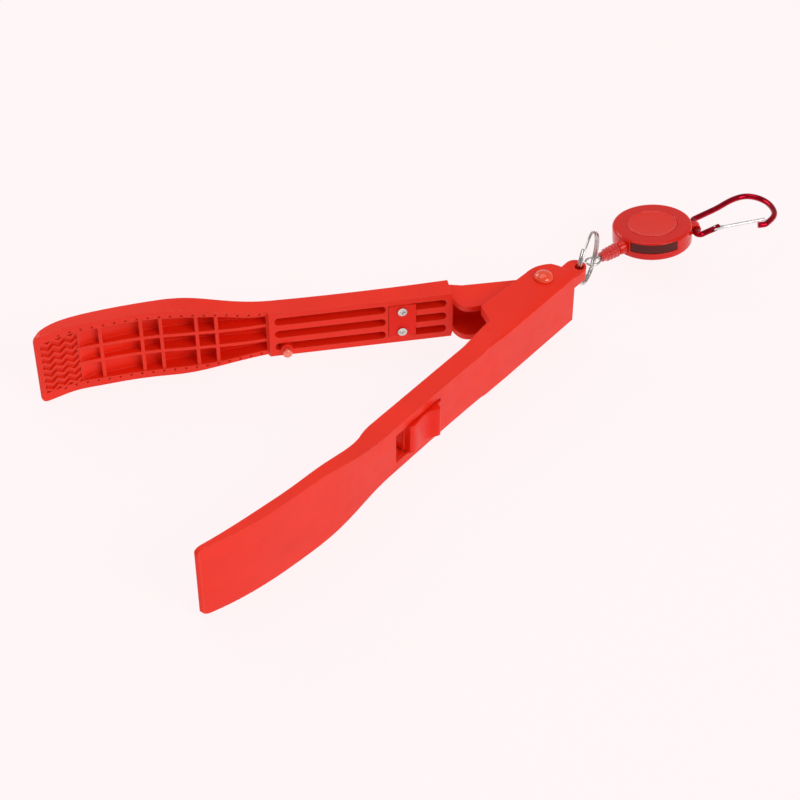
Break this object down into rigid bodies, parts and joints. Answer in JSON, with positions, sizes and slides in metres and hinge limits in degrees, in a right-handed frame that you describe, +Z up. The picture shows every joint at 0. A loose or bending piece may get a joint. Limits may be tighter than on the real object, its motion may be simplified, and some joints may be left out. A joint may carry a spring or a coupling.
{
  "type": "fish lip grip",
  "caption": "Plastic fish-gripping tongs with ribbed, toothed jaws, a thumb slide lock, a spring hinge, and a cord reel with a carabiner on a split ring.",
  "frame": {"origin": "on the surface the tongs lie on, at the middle of the footprint", "axes": "+Z up, along the hinge pin; the outer arm points towards -X -Y and the reel towards +X +Y"},
  "size_m": [0.3597, 0.2746, 0.0416],
  "materials": {
    "arm_plastic": "satin moulded",
    "button_plastic": "satin moulded",
    "pin_plastic": "gloss",
    "spring_steel": "satin",
    "screw_steel": "bright",
    "stud_plastic": "clear moulded",
    "ring_steel": "bright",
    "reel_plastic": "translucent gloss",
    "face_plastic": "satin",
    "window_smoke": "smoked",
    "cord": "braided",
    "spool_plastic": "moulded",
    "anodised": "anodised gloss",
    "gate_metal": "polished"
  },
  "bodies": {
    "outer_arm": {"outer_arm": "arm_plastic", "pivot_pin": "pin_plastic", "pivot_cap": "pin_plastic", "pivot_sleeve": "spring_steel", "torsion_spring": "spring_steel", "detent_spring": "spring_steel"},
    "ribbed_arm": {"ribbed_arm": "arm_plastic", "screwed_block": "button_plastic", "block_screws": "screw_steel", "latch_stud": "stud_plastic"},
    "lock_slider": {"lock_slider": "button_plastic"},
    "split_ring": {"split_ring": "ring_steel"},
    "cord_end": {"cord_boot": "reel_plastic", "cord_clasp": "ring_steel"},
    "reel_case": {"reel_top": "reel_plastic", "reel_bottom": "reel_plastic", "reel_face": "face_plastic", "reel_window": "window_smoke", "cord_guide": "reel_plastic", "reel_axle": "ring_steel", "pull_cord": "cord"},
    "cord_spool": {"cord_spool": "spool_plastic", "wound_cord": "cord", "power_spring": "spring_steel"},
    "carabiner": {"carabiner_frame": "anodised", "gate_rivet": "gate_metal"},
    "carabiner_gate": {"carabiner_gate": "gate_metal"}
  },
  "joints": [
    {"name": "arm_hinge", "type": "hinge", "parent": "outer_arm", "child": "ribbed_arm", "pos_m": [0.05702, 0.04868, 0.0194], "axis": [0, 0, 1], "range_deg": [0, 38.1], "stiffness_Nm_per_rad": 0.3, "springref_deg": -17.19, "deforming": ["torsion_spring"]},
    {"name": "lock_slide", "type": "slide", "parent": "outer_arm", "child": "lock_slider", "axis": [-0.6191, -0.7853, 0], "range_m": [0, 0.008]},
    {"name": "ring_swing", "type": "hinge", "parent": "outer_arm", "child": "split_ring", "pos_m": [0.07514, 0.06165, 0.0286], "axis": [0, 0, 1], "range_deg": [-30, 30]},
    {"name": "clasp_swing", "type": "hinge", "parent": "split_ring", "child": "cord_end", "pos_m": [0.08447, 0.08302, 0.02004], "axis": [-0.6138, 0.7895, 0], "range_deg": [-20, 20]},
    {"name": "cord_pull", "type": "slide", "parent": "cord_end", "child": "reel_case", "axis": [0.7895, 0.6138, -0.0061], "range_m": [0, 0.6], "stiffness_N_per_m": 2, "springref_m": -0.35, "deforming": ["pull_cord"]},
    {"name": "spool_spin", "type": "hinge", "parent": "reel_case", "child": "cord_spool", "pos_m": [0.11546, 0.10586, 0.0198], "axis": [-0.0695, 0.0993, 0.9926], "range_deg": [0, 3000]},
    {"name": "carabiner_swing", "type": "hinge", "parent": "reel_case", "child": "carabiner", "pos_m": [0.13723, 0.10779, 0.02113], "axis": [-0.0815, 0.9911, -0.1049], "range_deg": [-40, 40]},
    {"name": "gate_swing", "type": "hinge", "parent": "carabiner", "child": "carabiner_gate", "pos_m": [0.14652, 0.10572, 0.02199], "axis": [-0.0695, 0.0993, 0.9926], "range_deg": [0, 22], "stiffness_Nm_per_rad": 0.02, "springref_deg": -17.19}
  ],
  "couplings": [
    {"joint": "spool_spin", "follows": "cord_pull", "rad_per_m": 76.336}
  ]
}
